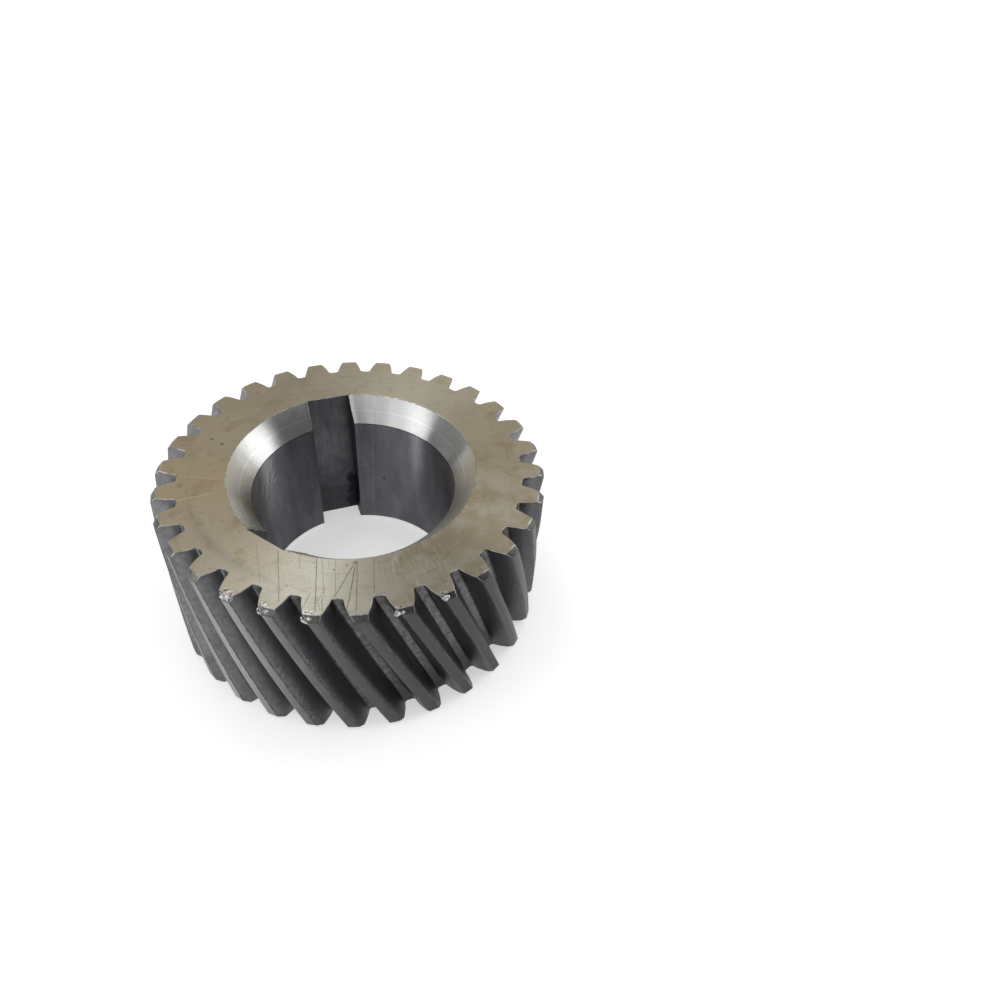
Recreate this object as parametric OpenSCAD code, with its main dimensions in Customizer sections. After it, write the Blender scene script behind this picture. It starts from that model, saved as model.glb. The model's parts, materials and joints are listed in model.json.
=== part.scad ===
// Crankshaft gear: one piece of steel with left-hand helical teeth, a bore with a wide
// lead-in chamfer at its upper end, and two keyways that run right through.
// The origin is on the bore's axis at the lower face, +Z runs up the axis,
// and the first keyway lies towards +Y. All lengths are in millimetres.

/* [Teeth] */
// Number of teeth
teeth = 30; // [26:1:48]
// Normal module, the size of the teeth measured square to them
normal_module = 2.5; // [2.25:0.05:4]
// Helix angle at the pitch circle, left-hand, in degrees
helix_angle = 20.8; // [0:0.1:35]
// Pressure angle measured square to the teeth, in degrees
pressure_angle = 20; // [14.5:0.5:25]
// Height of a tooth outside the pitch circle, in modules
addendum_factor = 1; // [0.8:0.05:1.2]
// Depth of a tooth space inside the pitch circle, in modules
dedendum_factor = 1.07; // [0.9:0.01:1.3]
// Share of the pitch circle that the teeth take up, the rest being the spaces
tooth_share = 0.54; // [0.46:0.01:0.58]
// Radius of the fillet at the foot of each flank
root_fillet = 0.7; // [0.3:0.1:1]
// Chamfer of the tooth tips at both faces, at 45 degrees
tip_chamfer = 1.1; // [0.3:0.1:2]

/* [Body] */
// Width of the gear from its lower to its upper face
face_width = 37.5; // [20:0.5:70]

/* [Bore] */
// Diameter of the bore that seats on the crankshaft
bore_d = 45; // [25:0.5:48]
// Width of the lead-in chamfer round the bore, seen on the upper face
lead_in_w = 4.8; // [1:0.1:6]
// Depth of the lead-in chamfer below the upper face
lead_in_depth = 5.2; // [1:0.1:9]
// Chamfer of the bore's lower edge, at 45 degrees
lower_chamfer = 1; // [0.3:0.1:2.5]

/* [Keyways] */
// Width of each keyway
keyway_w = 10; // [4:0.5:14]
// Depth of each keyway, from the bore's wall to its flat floor
keyway_depth = 4.6; // [2:0.1:6]
// Angle from the first keyway round to the second, anticlockwise from above, in degrees
keyway_spacing = 127; // [60:1:180]
// Angle from the first keyway's centre line to the nearest tooth at the upper face, in degrees
tooth_timing = 0.4; // [-6:0.1:6]

/* [Hidden] */
$fn = 180;

bore_r = bore_d / 2;
degrees_per_radian = 180 / PI;
tooth_pitch = 360 / teeth;

// The tooth system in the plane of rotation
pitch_r = teeth * normal_module / cos(helix_angle) / 2;
transverse_pressure = atan(tan(pressure_angle) / cos(helix_angle));
base_r = pitch_r * cos(transverse_pressure);
tip_r = pitch_r + addendum_factor * normal_module;
root_r = pitch_r - dedendum_factor * normal_module;
twist_per_mm = tan(helix_angle) / pitch_r * degrees_per_radian;

// Steps along a flank, round a root fillet and down the width of the teeth
flank_steps = 4;
fillet_steps = 3;
slices = 9;

// How far a cut or the raw teeth reach past the surface that trims them
overrun = 1;

// The angle that the involute has turned through at radius r, in degrees
function involute(r) =
    let (a = acos(min(1, base_r / r)))
    tan(a) * degrees_per_radian - a;

// Half of the angle that a tooth spans at radius r, in degrees
function half_tooth(r) = tooth_pitch * tooth_share / 2 + involute(pitch_r) - involute(r);

// A point of the outline from its radius and its angle
function polar(r, a) = [r * cos(a), r * sin(a)];

// One side of a tooth from the root circle up past the tip, as pairs of radius and half angle
fillet_top = root_r + root_fillet;
fillet_angle = root_fillet / root_r * degrees_per_radian;
flank_top = tip_r + overrun / 2;
fillet_side = [
    for (i = [0 : fillet_steps - 1])
        let (t = 90 - 90 * i / fillet_steps)
        [fillet_top - root_fillet * sin(t), half_tooth(fillet_top) + fillet_angle * (1 - cos(t))]
];
flank_side = [
    for (i = [0 : flank_steps])
        let (r = fillet_top + (flank_top - fillet_top) * i / flank_steps)
        [r, half_tooth(r)]
];
tooth_side = concat(fillet_side, flank_side);
side_points = len(tooth_side);

// The outline of all the teeth, with the first tooth at the angle of the first keyway
module tooth_outline() {
    polygon([
        for (k = [0 : teeth - 1])
            let (middle = 90 + tooth_timing + k * tooth_pitch)
            for (i = [0 : 2 * side_points - 1])
                let (rising = i < side_points)
                let (side = tooth_side[rising ? i : 2 * side_points - 1 - i])
                polar(side[0], middle + (rising ? -side[1] : side[1]))
    ]);
}

// The raw helical teeth, which turn clockwise as they climb and run past both faces
module raw_teeth() {
    height = face_width + 2 * overrun;
    rotate([0, 0, overrun * twist_per_mm + face_width * twist_per_mm])
        translate([0, 0, -overrun])
            linear_extrude(height = height, twist = height * twist_per_mm, slices = slices, convexity = 10)
                tooth_outline();
}

// The turned blank: outer diameter, chamfered tips, bore, lead-in chamfer and lower chamfer
module blank() {
    rotate_extrude()
        polygon([
            [bore_r + lower_chamfer, 0],
            [tip_r - tip_chamfer, 0],
            [tip_r, tip_chamfer],
            [tip_r, face_width - tip_chamfer],
            [tip_r - tip_chamfer, face_width],
            [bore_r + lead_in_w, face_width],
            [bore_r, face_width - lead_in_depth],
            [bore_r, lower_chamfer]
        ]);
}

// The broached slot that a key slides into, towards +Y
module keyway() {
    translate([-keyway_w / 2, 0, -overrun])
        cube([keyway_w, bore_r + keyway_depth, face_width + 2 * overrun]);
}

module crankshaft_gear() {
    color([0.62, 0.61, 0.58])
        difference() {
            intersection() {
                blank();
                raw_teeth();
            }
            for (angle = [0, keyway_spacing])
                rotate([0, 0, angle])
                    keyway();
        }
}

crankshaft_gear();
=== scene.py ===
"""Looks of a crankshaft gear: a steel helical gear that lies on its lower face.

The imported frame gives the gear's place and outer size. The gear's body is modelled here again with smooth
flanks and broken edges, and stands for the frame's own solid. The burrs on its knocked corners are a piece of
their own. Sizes are in metres, and patterns on the surfaces are placed in millimetres.
"""

import json
import logging
import math
from collections.abc import Callable
from dataclasses import dataclass, field
from enum import Enum
from functools import reduce
from typing import TypeAlias

import bmesh
import bpy
from mathutils import Matrix, Vector, noise

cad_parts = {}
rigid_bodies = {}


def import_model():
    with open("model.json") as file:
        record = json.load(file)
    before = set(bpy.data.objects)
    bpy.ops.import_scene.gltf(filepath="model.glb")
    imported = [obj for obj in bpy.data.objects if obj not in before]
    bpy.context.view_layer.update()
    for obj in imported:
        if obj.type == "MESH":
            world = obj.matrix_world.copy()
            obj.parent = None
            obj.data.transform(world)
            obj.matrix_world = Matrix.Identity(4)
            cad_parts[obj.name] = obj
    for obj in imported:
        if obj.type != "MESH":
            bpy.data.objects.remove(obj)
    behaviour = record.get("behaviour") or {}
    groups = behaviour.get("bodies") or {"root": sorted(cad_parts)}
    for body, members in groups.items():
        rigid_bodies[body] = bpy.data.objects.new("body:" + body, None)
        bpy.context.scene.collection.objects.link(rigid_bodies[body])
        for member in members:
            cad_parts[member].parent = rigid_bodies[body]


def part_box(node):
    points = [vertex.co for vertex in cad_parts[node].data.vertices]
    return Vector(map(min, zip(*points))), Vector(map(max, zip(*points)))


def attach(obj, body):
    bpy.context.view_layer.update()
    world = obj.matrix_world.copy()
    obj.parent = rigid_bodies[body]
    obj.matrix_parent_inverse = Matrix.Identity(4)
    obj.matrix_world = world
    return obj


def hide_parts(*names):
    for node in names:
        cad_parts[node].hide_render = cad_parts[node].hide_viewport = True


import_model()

LOG = logging.getLogger("crankshaft_gear")
MM = 0.001
NODE = "crankshaft_gear"
WHITE = (1.0, 1.0, 1.0, 1.0)

Point: TypeAlias = tuple[float, float]
Colour: TypeAlias = tuple[float, float, float]
Number: TypeAlias = "Socket | float"
Layer: TypeAlias = tuple["Socket", "Socket | Colour"]


class Surface(Enum):
    """The kinds of surface on the gear, in the order of its material slots."""

    FACE = 0
    LEAD_IN = 1
    BORE = 2
    KEYWAY = 3
    FLANK = 4
    LAND = 5
    TIP_CHAMFER = 6
    EDGE = 7


def operator(operation: str) -> Callable[["Socket", Number], "Socket"]:
    """Makes a method of Socket that adds a Math node of one operation."""
    return lambda value, other: value.math(operation, other)


@dataclass(eq=False)
class Socket:
    """A shader socket that takes part in Python arithmetic: an expression adds the nodes it needs.

    Attributes:
        graph: the node tree that new nodes go into.
        output: the node output that this value comes from.
    """

    graph: "Graph"
    output: bpy.types.NodeSocket

    __add__ = __radd__ = operator("ADD")
    __mul__ = __rmul__ = operator("MULTIPLY")
    __sub__ = operator("SUBTRACT")
    __truediv__ = operator("DIVIDE")
    low = operator("MINIMUM")
    high = operator("MAXIMUM")

    def math(self, operation: str, *others: Number) -> "Socket":
        """The result of one Math node, from this value and others."""
        return self.graph.node("ShaderNodeMath", {"operation": operation}, self, *others)

    def __rsub__(self, other: float) -> "Socket":
        """A number less this value."""
        return self.graph.node("ShaderNodeMath", {"operation": "SUBTRACT"}, other, self)

    def __abs__(self) -> "Socket":
        """This value without its sign."""
        return self.math("ABSOLUTE")

    def step(self, start: float, end: float) -> "Socket":
        """A smooth step that is 0 where this value is at start and 1 where it is at end, in either order."""
        settings = {"interpolation_type": "SMOOTHSTEP"}
        return self.graph.node("ShaderNodeMapRange", settings, self, start, end, 0.0, 1.0)

    def band(self, middle: float, width: float) -> "Socket":
        """A soft band: 1 where this value is in its middle, and 0 from its width on either side."""
        return abs(self - middle).step(width, 0.0)


class Graph:
    """A node tree that is written as expressions."""

    def __init__(self, tree: bpy.types.NodeTree) -> None:
        """Args:
            tree: the node tree to fill, emptied first.
        """
        self.tree = tree
        self.tree.nodes.clear()

    def node(
        self,
        kind: str,
        settings: dict[str, object] | None = None,
        *values: "Socket | float | tuple | None",
        out: int | str = 0,
        **named: "Socket | float | tuple",
    ) -> Socket | None:
        """Adds one node.

        Args:
            kind: the node's type.
            settings: the node's own properties, set before its sockets.
            values: values or links of its inputs in order, with None for one that keeps its default.
            out: which output to return, by index or name.
            named: values or links of inputs by name, with underscores for spaces.

        Returns:
            The chosen output, or None from a node that has none.
        """
        made = self.tree.nodes.new(kind)
        for name, value in (settings or {}).items():
            setattr(made, name, value)
        for socket, value in zip((socket for socket in made.inputs if socket.enabled), values):
            self._feed(socket, value)
        for name, value in named.items():
            self._feed(made.inputs[name.replace("_", " ")], value)
        outputs = [socket for socket in made.outputs if socket.enabled]
        if not outputs:
            return None
        return Socket(self, outputs[out] if isinstance(out, int) else made.outputs[out])

    def _feed(self, socket: bpy.types.NodeSocket, value: "Socket | float | tuple | None") -> None:
        """Links or sets one input socket."""
        if isinstance(value, Socket):
            self.tree.links.new(value.output, socket)
        elif value is not None:
            socket.default_value = value

    def blend(self, factor: Number, first: "Socket | tuple", second: "Socket | tuple") -> Socket:
        """Mixes two colours, each a link or red, green and blue: a factor of 0 gives the first of them."""
        colours = [value if isinstance(value, Socket) else (*value, 1.0) for value in (first, second)]
        return self.node("ShaderNodeMix", {"data_type": "RGBA"}, factor, *colours)

    def vector(self, operation: str, *values: "Socket | tuple", scale: "Number | None" = None) -> Socket:
        """The result of one Vector Math node, a number from a product, length or distance."""
        named = {} if scale is None else {"Scale": scale}
        return self.node("ShaderNodeVectorMath", {"operation": operation}, *values, **named)


class Place:
    """Coordinates on the gear for a material, in millimetres and radians."""

    def __init__(self, graph: Graph, gear: "GearForm") -> None:
        """Args:
            graph: the material's graph.
            gear: the gear's sizes.
        """
        self.graph = graph
        self.gear = gear
        coordinates = graph.node("ShaderNodeTexCoord", None, out="Object")
        self.point = graph.vector("SCALE", coordinates, scale=1 / MM)
        axes = graph.node("ShaderNodeSeparateXYZ", None, self.point).output.node.outputs
        self.x, self.y, self.z = (Socket(graph, axis) for axis in axes)
        self.flat = self.combine(self.x, self.y, 0.0)
        self.radius = graph.vector("LENGTH", self.flat)
        self.angle = self.y.math("ARCTAN2", self.x)

    def combine(self, x: Number, y: Number, z: Number) -> Socket:
        """A vector from three values."""
        return self.graph.node("ShaderNodeCombineXYZ", None, x, y, z)

    def unrolled(self, radius: float) -> Socket:
        """Flat coordinates on a wall that goes round the axis: the way round at a radius, and the height."""
        return self.combine(self.angle * radius, self.z, 0.0)

    def off_middle(self) -> Socket:
        """Distance round the gear from the middle of the nearest tooth, in millimetres, with its sign."""
        gear = self.gear
        turns = (self.angle + self.z * (gear.twist * MM) - gear.turn(0.0)) * (1 / gear.tooth_pitch)
        return ((turns + 0.5).math("FRACT") - 0.5) * gear.tooth_pitch * self.radius

    def noise(
        self, scale: float, detail: float = 2.0, rough: float = 0.5, where: Socket | None = None
    ) -> Socket:
        """Smooth noise.

        Args:
            scale: how many features it has for each unit of its coordinates.
            detail: how many finer layers it has.
            rough: how strong the finer layers are.
            where: its coordinates, or None for the point's own.

        Returns:
            The noise, between 0 and 1.
        """
        values = {"Vector": where or self.point, "Scale": scale, "Detail": detail, "Roughness": rough}
        return self.graph.node("ShaderNodeTexNoise", None, **values)

    def stretched(self, per_mm: tuple[float, float, float], detail: float, rough: float = 0.5) -> Socket:
        """Smooth noise with its own number of features for each millimetre along each axis."""
        return self.noise(1.0, detail, rough, self.graph.vector("MULTIPLY", self.point, per_mm))

    def round_grain(self, per_mm: float, arcs: float, seed: float = 0.0) -> Socket:
        """Fine rings left by a turning tool: noise that is long round the gear and short across it."""
        swirl = self.combine(self.radius * per_mm, self.angle * arcs, self.z * per_mm + seed)
        return self.noise(1.0, 3.0, 0.6, swirl)

    def towards(self, direction: float) -> Socket:
        """1 on the side of the gear that a direction in radians points to and -1 on the other, a bit uneven."""
        along = (math.cos(direction), math.sin(direction), 0.0)
        share = self.graph.vector("DOT_PRODUCT", self.flat, along) / self.radius
        return share + (self.noise(0.2) - 0.5) * 0.25

    def distance(self, where: Socket, point: Point) -> Socket:
        """Distance from a point, in flat coordinates on a surface."""
        return self.graph.vector("DISTANCE", where, (*point, 0.0))

    def near_line(self, where: Socket, start: Point, end: Point) -> Socket:
        """Distance from a straight line on a surface.

        Args:
            where: flat coordinates on the surface.
            start: one end of the line.
            end: the other end.

        Returns:
            The distance, in millimetres.
        """
        graph = self.graph
        run = Vector((end[0] - start[0], end[1] - start[1], 0.0))
        offset = graph.vector("SUBTRACT", where, (*start, 0.0))
        share = graph.vector("DOT_PRODUCT", offset, tuple(run / run.length_squared)).high(0.0).low(1.0)
        return graph.vector("DISTANCE", offset, graph.vector("SCALE", tuple(run), scale=share))

    def layers(self, colour: Socket, *layers: Layer) -> Socket:
        """A colour with others laid over it in turn, each through its own mask."""
        for mask, other in layers:
            colour = self.graph.blend(mask, colour, other)
        return colour


def new_material(name: str) -> tuple[bpy.types.Material, Graph]:
    """Makes an empty material, and the graph to fill it with."""
    material = bpy.data.materials.new(name)
    material.use_nodes = True
    return material, Graph(material.node_tree)


@dataclass(frozen=True)
class GearForm:
    """Sizes of the gear, as it is cut."""

    tip_radius: float
    face_width: float
    teeth: int = 30
    normal_module: float = 2.5 * MM
    helix_angle: float = math.radians(20.8)
    pressure_angle: float = math.radians(20.0)
    dedendum_factor: float = 1.07
    tooth_share: float = 0.54
    root_fillet: float = 0.7 * MM
    tip_chamfer: float = 1.1 * MM
    bore_radius: float = 22.5 * MM
    lead_in_width: float = 4.8 * MM
    lead_in_depth: float = 5.2 * MM
    lower_chamfer: float = 1.0 * MM
    keyway_width: float = 10.0 * MM
    keyway_depth: float = 4.6 * MM
    keyway_spacing: float = math.radians(127.0)
    tooth_timing: float = math.radians(0.4)

    @property
    def tooth_pitch(self) -> float:
        """Angle from one tooth to the next."""
        return math.tau / self.teeth

    @property
    def pitch_radius(self) -> float:
        """Radius of the pitch circle."""
        return self.teeth * self.normal_module / math.cos(self.helix_angle) / 2

    @property
    def base_radius(self) -> float:
        """Radius of the circle that the involute unwinds from."""
        pressure = math.atan(math.tan(self.pressure_angle) / math.cos(self.helix_angle))
        return self.pitch_radius * math.cos(pressure)

    @property
    def root_radius(self) -> float:
        """Radius of the floor of the tooth spaces."""
        return self.pitch_radius - self.dedendum_factor * self.normal_module

    @property
    def twist(self) -> float:
        """Angle that the teeth turn through for each metre along the gear."""
        return math.tan(self.helix_angle) / self.pitch_radius

    def involute(self, radius: float) -> float:
        """Angle that the involute has turned through at a radius."""
        pressure = math.acos(min(1.0, self.base_radius / radius))
        return math.tan(pressure) - pressure

    def half_tooth(self, radius: float) -> float:
        """Half of the angle that a tooth spans at a radius."""
        at_pitch = self.tooth_pitch * self.tooth_share / 2
        return at_pitch + self.involute(self.pitch_radius) - self.involute(radius)

    def turn(self, height: float) -> float:
        """Angle of the first tooth at a height above the lower face."""
        return math.pi / 2 + self.tooth_timing + (self.face_width - height) * self.twist


def polar(radius: float, angle: float, height: float) -> Vector:
    """A point from its distance from the axis, its angle and its height."""
    return Vector((radius * math.cos(angle), radius * math.sin(angle), height))


def finish_mesh(mesh: bmesh.types.BMesh, name: str) -> bpy.types.Object:
    """Turns a finished bmesh into an object at the origin.

    Args:
        mesh: the finished mesh, which is freed.
        name: the object's name.

    Returns:
        The object, linked to the scene.
    """
    data = bpy.data.meshes.new(name)
    mesh.to_mesh(data)
    mesh.free()
    piece = bpy.data.objects.new(name, data)
    bpy.context.scene.collection.objects.link(piece)
    return piece


class Loft:
    """A ring of edges that is drawn out from one outline to the next."""

    def __init__(self, mesh: bmesh.types.BMesh, outline: list[Vector]) -> None:
        """Args:
            mesh: the mesh that the ring belongs to.
            outline: the first outline's points, in order.
        """
        self.mesh = mesh
        self.ring = [mesh.verts.new(point) for point in outline]
        self.edges = [mesh.edges.new(pair) for pair in zip(self.ring, self.ring[1:] + self.ring[:1])]

    def extrude(self) -> None:
        """Extrudes the ring in place and moves on to its new end, in the same order."""
        made = bmesh.ops.extrude_edge_only(self.mesh, edges=self.edges)["geom"]
        fresh = {item for item in made if isinstance(item, bmesh.types.BMVert)}
        for index, vertex in enumerate(self.ring):
            others = (edge.other_vert(vertex) for edge in vertex.link_edges)
            self.ring[index] = next(other for other in others if other in fresh)
        self.edges = [self.mesh.edges.get(pair) for pair in zip(self.ring, self.ring[1:] + self.ring[:1])]

    def draw(self, outline: list[Vector]) -> None:
        """Extrudes the ring to the next outline, which has as many points in the same order."""
        self.extrude()
        for vertex, point in zip(self.ring, outline):
            vertex.co = point

    def screw(self, rise: float, turn: float, steps: int) -> None:
        """Extrudes the ring along the gear's axis while it turns.

        Args:
            rise: how far it moves up.
            turn: the angle that it turns through.
            steps: how many rows of faces this takes.
        """
        for _ in range(steps):
            self.extrude()
            matrix = Matrix.Rotation(turn / steps, 3, "Z")
            bmesh.ops.rotate(self.mesh, cent=(0, 0, 0), matrix=matrix, verts=self.ring)
            bmesh.ops.translate(self.mesh, vec=(0, 0, rise / steps), verts=self.ring)


@dataclass
class GearBody:
    """The gear's body: helical teeth, faces, bore, lead-in chamfer and keyways as one closed mesh."""

    form: GearForm
    flank_steps: int = 6
    fillet_steps: int = 3
    slices: int = 24
    ring_radius: float = 30.0 * MM
    ring_points_per_tooth: int = 4
    keyway_steps: int = 6
    edge_break: float = 0.12 * MM
    edge_segments: int = 2
    sharp: float = math.radians(28.0)
    weld: float = 0.002 * MM
    aligned: float = 0.99
    sloped: float = 0.3
    chamfered: float = 0.6

    def tooth_side(self, tip_radius: float) -> list[tuple[float, float]]:
        """One side of a tooth from the middle of the space to the middle of the tip.

        Args:
            tip_radius: radius of the tooth's tip at this height.

        Returns:
            Pairs of a radius and an angle from the tooth's middle.
        """
        form = self.form
        fillet_top = form.root_radius + form.root_fillet
        fillet_angle = form.root_fillet / form.root_radius
        side = [(form.root_radius, form.tooth_pitch / 2)]
        for step in range(self.fillet_steps):
            rise = math.pi / 2 * (1 - step / self.fillet_steps)
            angle = form.half_tooth(fillet_top) + fillet_angle * (1 - math.cos(rise))
            side.append((fillet_top - form.root_fillet * math.sin(rise), angle))
        for step in range(self.flank_steps + 1):
            radius = fillet_top + (tip_radius - fillet_top) * step / self.flank_steps
            side.append((radius, form.half_tooth(radius)))
        side.append((tip_radius, 0.0))
        return side

    def teeth_outline(self, height: float, tip_radius: float) -> list[Vector]:
        """The outline of all the teeth at one height, anticlockwise from above.

        Args:
            height: height above the lower face.
            tip_radius: radius of the tips at this height.

        Returns:
            The outline's points.
        """
        side = self.tooth_side(tip_radius)
        tooth = [(radius, -angle) for radius, angle in side] + side[-2:0:-1]
        middles = [self.form.turn(height) + index * self.form.tooth_pitch for index in range(self.form.teeth)]
        return [polar(radius, middle + angle, height) for middle in middles for radius, angle in tooth]

    def root_outline(self, height: float) -> list[Vector]:
        """The root circle at one face: the middle and both feet of each space, and a point under each tooth."""
        form = self.form
        foot = form.half_tooth(form.root_radius + form.root_fillet) + form.root_fillet / form.root_radius
        middles = [form.turn(height) + index * form.tooth_pitch for index in range(form.teeth)]
        angles = [middle + angle for middle in middles for angle in (-form.tooth_pitch / 2, -foot, 0.0, foot)]
        return [polar(form.root_radius, angle, height) for angle in angles]

    def ring_outline(self, height: float, radius: float) -> list[Vector]:
        """A circle with one point for each point of the bore's outline, starting beside the first keyway."""
        total = self.form.teeth * self.ring_points_per_tooth
        lag = (self.keyway_steps + 2) / 2
        return [polar(radius, math.pi / 2 + math.tau * (step - lag) / total, height) for step in range(total)]

    def bore_outline(self, height: float, radius: float) -> list[Vector]:
        """The bore's outline with both keyways, at one height.

        Args:
            height: height above the lower face.
            radius: radius of the round part at this height.

        Returns:
            The points, anticlockwise from the right side of the first keyway.
        """
        form = self.form
        total = form.teeth * self.ring_points_per_tooth
        half = form.keyway_width / 2
        floor = form.bore_radius + form.keyway_depth
        mouth = math.asin(half / radius)
        across = [half - 2 * half * step / self.keyway_steps for step in range(self.keyway_steps + 1)]
        mouth_y = radius * math.cos(mouth)
        slot = [(half, mouth_y), *((x, floor) for x in across), (-half, mouth_y)]
        first_steps = round(total * form.keyway_spacing / math.tau) - (len(slot) - 1)
        arcs = [
            (0.0, form.keyway_spacing, first_steps),
            (form.keyway_spacing, math.tau - form.keyway_spacing, total - first_steps - 2 * (len(slot) - 1)),
        ]
        points = []
        for start, span, steps in arcs:
            turn = Matrix.Rotation(start, 3, "Z")
            points += [turn @ Vector((x, y, height)) for x, y in slot]
            first = math.pi / 2 + start + mouth
            angles = [first + (span - 2 * mouth) * step / steps for step in range(1, steps)]
            points += [polar(radius, angle, height) for angle in angles]
        return points

    def in_step(self, points: list[Vector], reference: list[Vector]) -> list[Vector]:
        """The same closed outline, started at the point nearest in angle to the reference's first one."""
        target = math.atan2(reference[0].y, reference[0].x)
        gaps = [abs((math.atan2(p.y, p.x) - target + math.pi) % math.tau - math.pi) for p in points]
        first = gaps.index(min(gaps))
        return points[first:] + points[:first]

    def draw_core(self, mesh: bmesh.types.BMesh) -> None:
        """Draws the faces, the bore, its chamfers and the keyways, from one root circle to the other."""
        form = self.form
        top = form.face_width
        ring = self.ring_outline(0.0, self.ring_radius)
        core = Loft(mesh, self.in_step(self.root_outline(0.0), ring))
        core.draw(ring)
        core.draw(self.bore_outline(0.0, form.bore_radius + form.lower_chamfer))
        core.draw(self.bore_outline(form.lower_chamfer, form.bore_radius))
        core.draw(self.bore_outline(top - form.lead_in_depth, form.bore_radius))
        core.draw(self.bore_outline(top, form.bore_radius + form.lead_in_width))
        core.draw(self.ring_outline(top, self.ring_radius))
        core.draw(self.in_step(self.root_outline(top), ring))

    def draw_teeth(self, mesh: bmesh.types.BMesh) -> None:
        """Draws the helical surface of the teeth from the upper to the lower face."""
        form = self.form
        chamfer = form.tip_chamfer
        height = form.face_width - 2 * chamfer
        teeth = Loft(mesh, self.teeth_outline(form.face_width, form.tip_radius - chamfer))
        teeth.draw(self.teeth_outline(form.face_width - chamfer, form.tip_radius))
        teeth.screw(-height, height * form.twist, self.slices)
        teeth.draw(self.teeth_outline(0.0, form.tip_radius - chamfer))

    def kind_of(self, face: bmesh.types.BMFace) -> Surface:
        """Which kind of surface a face belongs to, from its place and the way it points."""
        form = self.form
        centre = face.calc_center_median()
        upright = abs(face.normal.z)
        if upright > self.aligned:
            return Surface.FACE
        if centre.xy.length < self.ring_radius:
            if upright > self.sloped:
                return Surface.LEAD_IN
            facing = face.normal.xy.normalized().dot(centre.xy.normalized())
            round_wall = facing < -self.aligned and centre.xy.length < form.bore_radius + self.weld
            return Surface.BORE if round_wall else Surface.KEYWAY
        if min(vertex.co.xy.length for vertex in face.verts) > form.tip_radius - self.weld:
            return Surface.LAND
        outward = face.normal.xy.dot(centre.xy.normalized())
        at_end = min(centre.z, form.face_width - centre.z) < form.tip_chamfer
        if at_end and min(upright, outward) > self.chamfered:
            return Surface.TIP_CHAMFER
        return Surface.FLANK

    def break_edges(self, mesh: bmesh.types.BMesh) -> None:
        """Breaks every sharp outer edge with a small rounded bevel."""
        outer = [edge for edge in mesh.edges if edge.is_manifold and edge.is_convex]
        edges = [edge for edge in outer if edge.calc_face_angle(0.0) > self.sharp]
        made = bmesh.ops.bevel(
            mesh,
            geom=edges,
            offset=self.edge_break,
            offset_type="OFFSET",
            segments=self.edge_segments,
            profile=0.5,
            affect="EDGES",
            clamp_overlap=True,
            material=-1,
        )
        for face in made["faces"]:
            face.material_index = Surface.EDGE.value
        LOG.info("broke %d edges into %d faces", len(edges), len(made["faces"]))

    def build(self) -> bpy.types.Object:
        """Builds the body, with smooth shading on all but its flat surfaces.

        Returns:
            The finished object.
        """
        mesh = bmesh.new()
        self.draw_core(mesh)
        self.draw_teeth(mesh)
        bmesh.ops.remove_doubles(mesh, verts=mesh.verts, dist=self.weld)
        bmesh.ops.holes_fill(mesh, edges=mesh.edges, sides=0)
        bmesh.ops.recalc_face_normals(mesh, faces=mesh.faces)
        for face in mesh.faces:
            face.material_index = self.kind_of(face).value
        self.break_edges(mesh)
        flat = (Surface.FACE.value, Surface.KEYWAY.value)
        for face in mesh.faces:
            face.smooth = face.material_index not in flat
        for edge in mesh.edges:
            edge.smooth = edge.calc_face_angle(0.0) < self.sharp
        open_edges = sum(not edge.is_manifold for edge in mesh.edges)
        LOG.info("gear body: %d faces, %d open edges", len(mesh.faces), open_edges)
        return finish_mesh(mesh, "gear_body")


class Knock(Enum):
    """What a knock left on a tooth's corner."""

    LUMP = "a crushed lump"
    CURL = "a curled splinter"


KNOCKS = (
    (222.2, 1.05, Knock.LUMP),
    (223.6, 0.8, Knock.LUMP),
    (233.5, 0.95, Knock.CURL),
    (234.6, 0.45, Knock.LUMP),
    (245.4, 1.05, Knock.CURL),
    (245.9, 0.5, Knock.LUMP),
    (268.2, 0.65, Knock.LUMP),
    (269.6, 0.4, Knock.LUMP),
    (281.6, 0.75, Knock.LUMP),
    (282.4, 0.45, Knock.CURL),
)


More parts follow.
